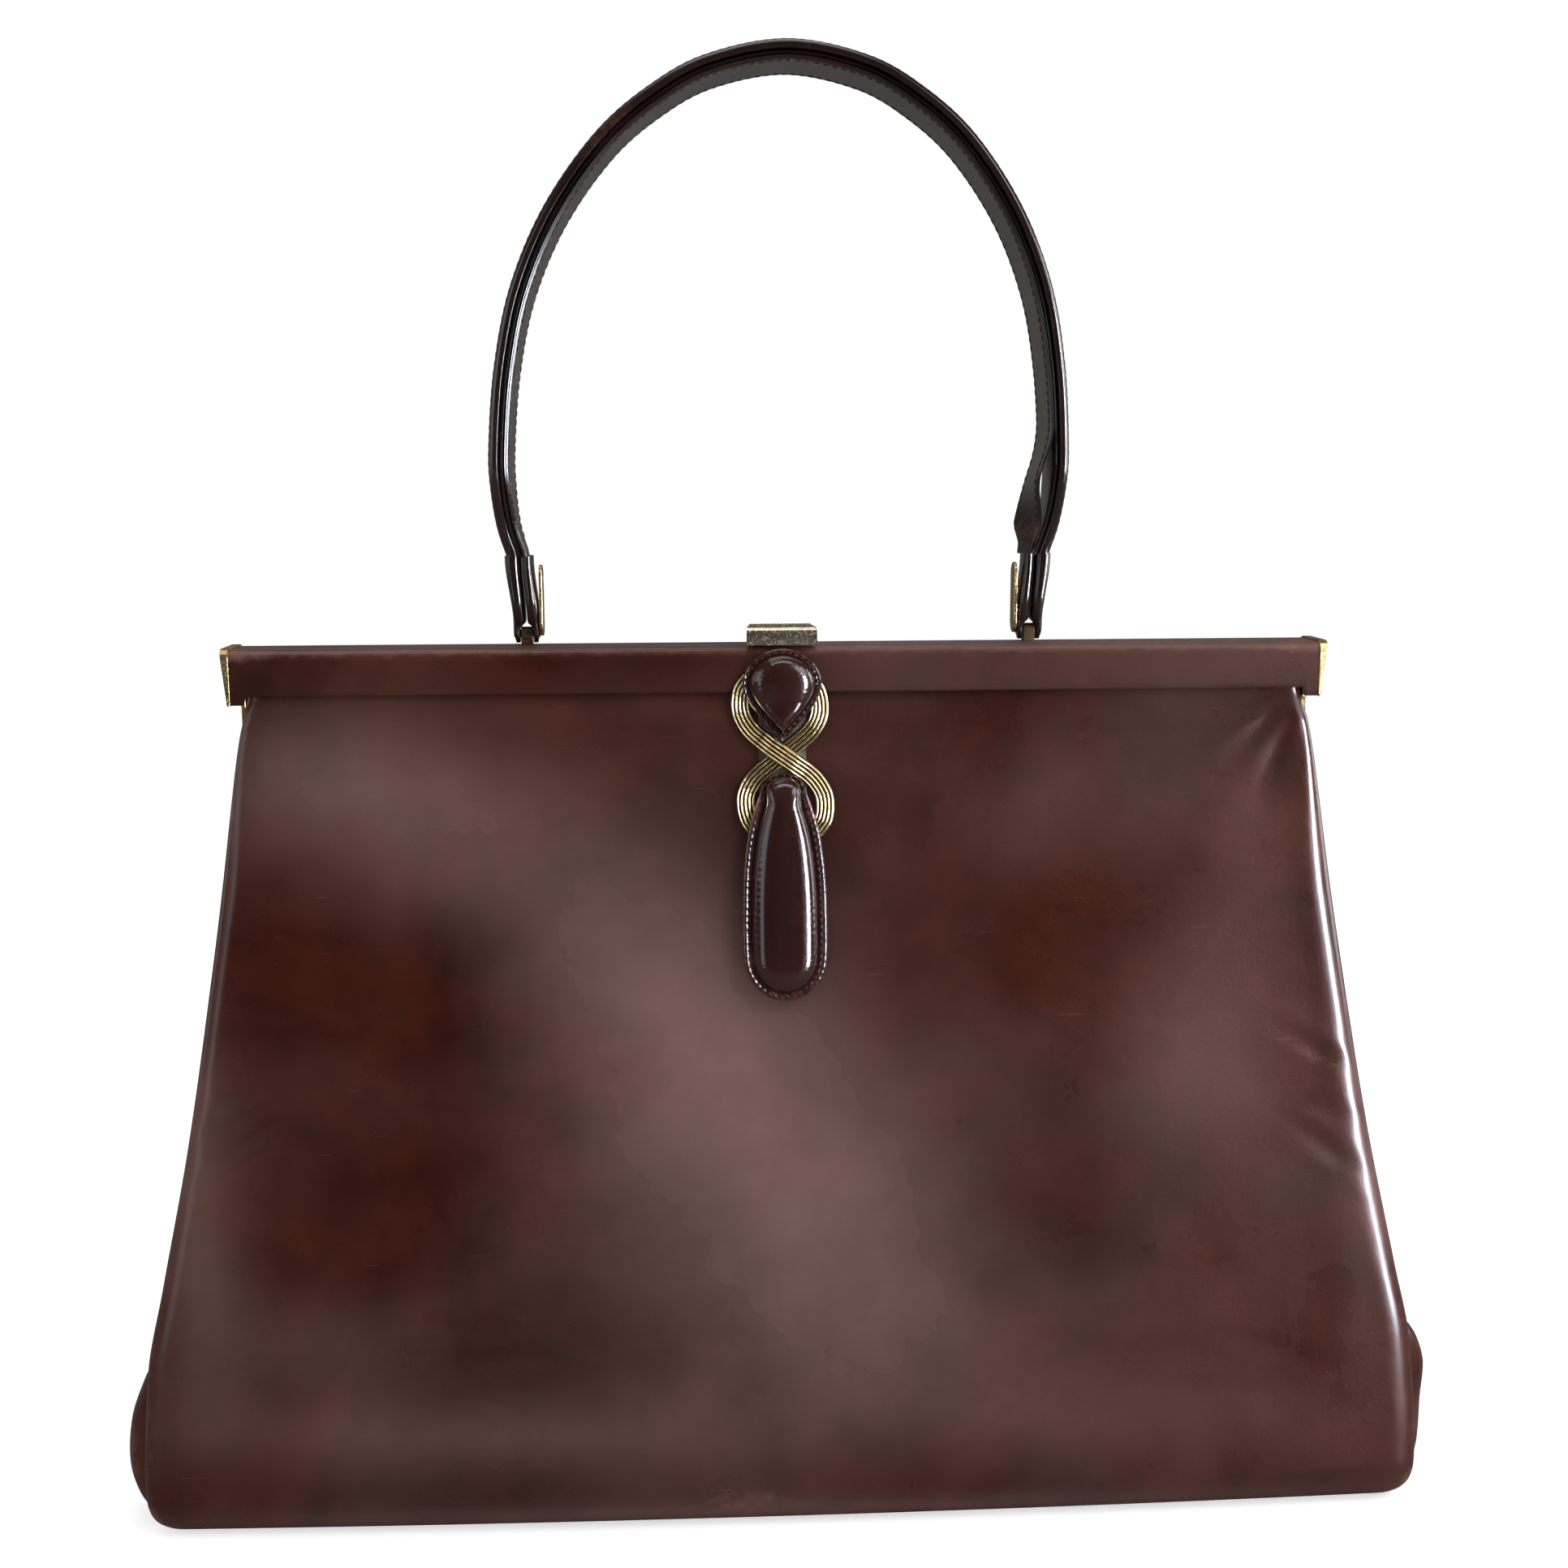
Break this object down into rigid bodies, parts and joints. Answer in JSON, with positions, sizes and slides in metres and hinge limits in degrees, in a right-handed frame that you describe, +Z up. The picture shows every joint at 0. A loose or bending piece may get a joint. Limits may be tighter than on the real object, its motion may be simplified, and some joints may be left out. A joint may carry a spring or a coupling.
{
  "type": "frame handbag",
  "caption": "Trapezoid leather frame handbag with hinged jaws, a lift catch, a figure-eight front ornament and an arched top handle.",
  "frame": {"origin": "middle of the base, on the surface it stands on", "axes": "+X to the right seen from the front, -Y towards the front with the ornament, +Z up"},
  "size_m": [0.3582, 0.088, 0.38],
  "materials": {
    "hide": "polished calf",
    "strap": "polished calf, darker",
    "lining": "twill",
    "card": "matt",
    "brass": "polished, worn",
    "spring_steel": "bright"
  },
  "bodies": {
    "root": {"outer_hide": "hide", "left_gusset": "hide", "right_gusset": "hide", "front_board": "card", "back_board": "card", "base_board": "card", "main_lining": "lining", "left_gusset_lining": "lining", "right_gusset_lining": "lining", "slip_pocket": "lining", "pocket_binding": "hide", "left_hinge_pin": "brass", "right_hinge_pin": "brass"},
    "front_jaw": {"front_bar": "brass", "front_bar_cover": "hide", "front_left_cap": "brass", "front_right_cap": "brass", "front_left_arm": "brass", "front_right_arm": "brass", "strike_plate": "brass", "ornament_strip": "brass", "teardrop_pad": "hide", "tab_pad": "hide", "over_strand": "brass", "under_strand": "brass"},
    "back_jaw": {"back_bar": "brass", "back_bar_cover": "hide", "back_left_cap": "brass", "back_right_cap": "brass", "back_left_arm": "brass", "back_right_arm": "brass", "catch_plate": "brass", "catch_pin": "brass", "catch_spring": "spring_steel", "left_lug": "brass", "right_lug": "brass"},
    "catch": {"thumb_catch": "brass"},
    "handle": {"outer_strap": "strap", "strap_core": "card", "inner_strap": "strap", "left_tab": "strap", "right_tab": "strap", "left_oval": "brass", "right_oval": "brass", "left_lug_pin": "brass", "right_lug_pin": "brass"}
  },
  "joints": [
    {"name": "front_jaw_hinge", "type": "hinge", "parent": "root", "child": "front_jaw", "pos_m": [0, 0, 0.14], "axis": [1, 0, 0], "range_deg": [0, 22], "deforming": ["outer_hide", "left_gusset", "right_gusset", "main_lining", "left_gusset_lining", "right_gusset_lining"]},
    {"name": "back_jaw_hinge", "type": "hinge", "parent": "root", "child": "back_jaw", "pos_m": [0, 0, 0.14], "axis": [1, 0, 0], "range_deg": [-22, 0], "deforming": ["outer_hide", "left_gusset", "right_gusset", "main_lining", "left_gusset_lining", "right_gusset_lining"]},
    {"name": "catch_lift", "type": "hinge", "parent": "back_jaw", "child": "catch", "pos_m": [0, 0.005, 0.2306], "axis": [-1, 0, 0], "range_deg": [0, 35], "stiffness_Nm_per_rad": 0.02, "springref_deg": -17.19},
    {"name": "handle_swing", "type": "hinge", "parent": "back_jaw", "child": "handle", "pos_m": [0, 0.0042, 0.2309], "axis": [1, 0, 0], "range_deg": [-75, 75]}
  ],
  "couplings": [
    {"joint": "back_jaw_hinge", "follows": "front_jaw_hinge", "ratio": -1}
  ]
}
